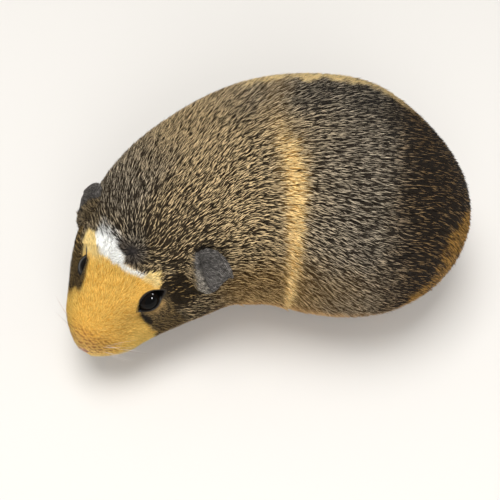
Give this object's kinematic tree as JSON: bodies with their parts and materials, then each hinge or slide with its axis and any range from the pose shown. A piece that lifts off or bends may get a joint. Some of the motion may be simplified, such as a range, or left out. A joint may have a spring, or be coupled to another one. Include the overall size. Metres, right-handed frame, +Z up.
{
  "type": "guinea pig",
  "caption": "Life-size short-haired guinea pig resting in a loaf pose with its head low and turned to its left; brown agouti back, orange face, white blaze and dark ears.",
  "frame": {"origin": "middle of the animal's bounding box seen from above, on the floor", "axes": "+X towards the rump, +Y towards the animal's right side, +Z up; the head is at -X and bends round towards -Y, the animal's left"},
  "size_m": [0.2038, 0.1618, 0.1061],
  "materials": {
    "coat_gold": "short orange-gold fur of the face",
    "coat_agouti": "dark brown fur with tan tips",
    "ear_skin": "smooth slate-grey skin with short down",
    "nose_skin": "bare pinkish-brown skin",
    "foot_skin": "bare grey-brown skin",
    "claw": "dark horn",
    "eye": "wet near-black"
  },
  "bodies": {
    "root": {"head": "coat_gold", "jaw": "coat_gold", "nose": "nose_skin", "neck": "coat_agouti", "trunk": "coat_agouti", "rump": "coat_agouti", "eye_left": "eye", "eye_right": "eye", "ear_left": "ear_skin", "ear_right": "ear_skin", "foreleg_left": "coat_agouti", "foreleg_right": "coat_agouti", "hindleg_left": "coat_agouti", "hindleg_right": "coat_agouti", "forefoot_left": "foot_skin", "forefoot_right": "foot_skin", "forefoot_claw_left_1": "claw", "forefoot_claw_left_2": "claw", "forefoot_claw_left_3": "claw", "forefoot_claw_left_4": "claw", "forefoot_claw_right_1": "claw", "forefoot_claw_right_2": "claw", "forefoot_claw_right_3": "claw", "forefoot_claw_right_4": "claw", "hindfoot_left": "foot_skin", "hindfoot_right": "foot_skin", "hindfoot_claw_left_1": "claw", "hindfoot_claw_left_2": "claw", "hindfoot_claw_left_3": "claw", "hindfoot_claw_right_1": "claw", "hindfoot_claw_right_2": "claw", "hindfoot_claw_right_3": "claw"}
  },
  "joints": []
}
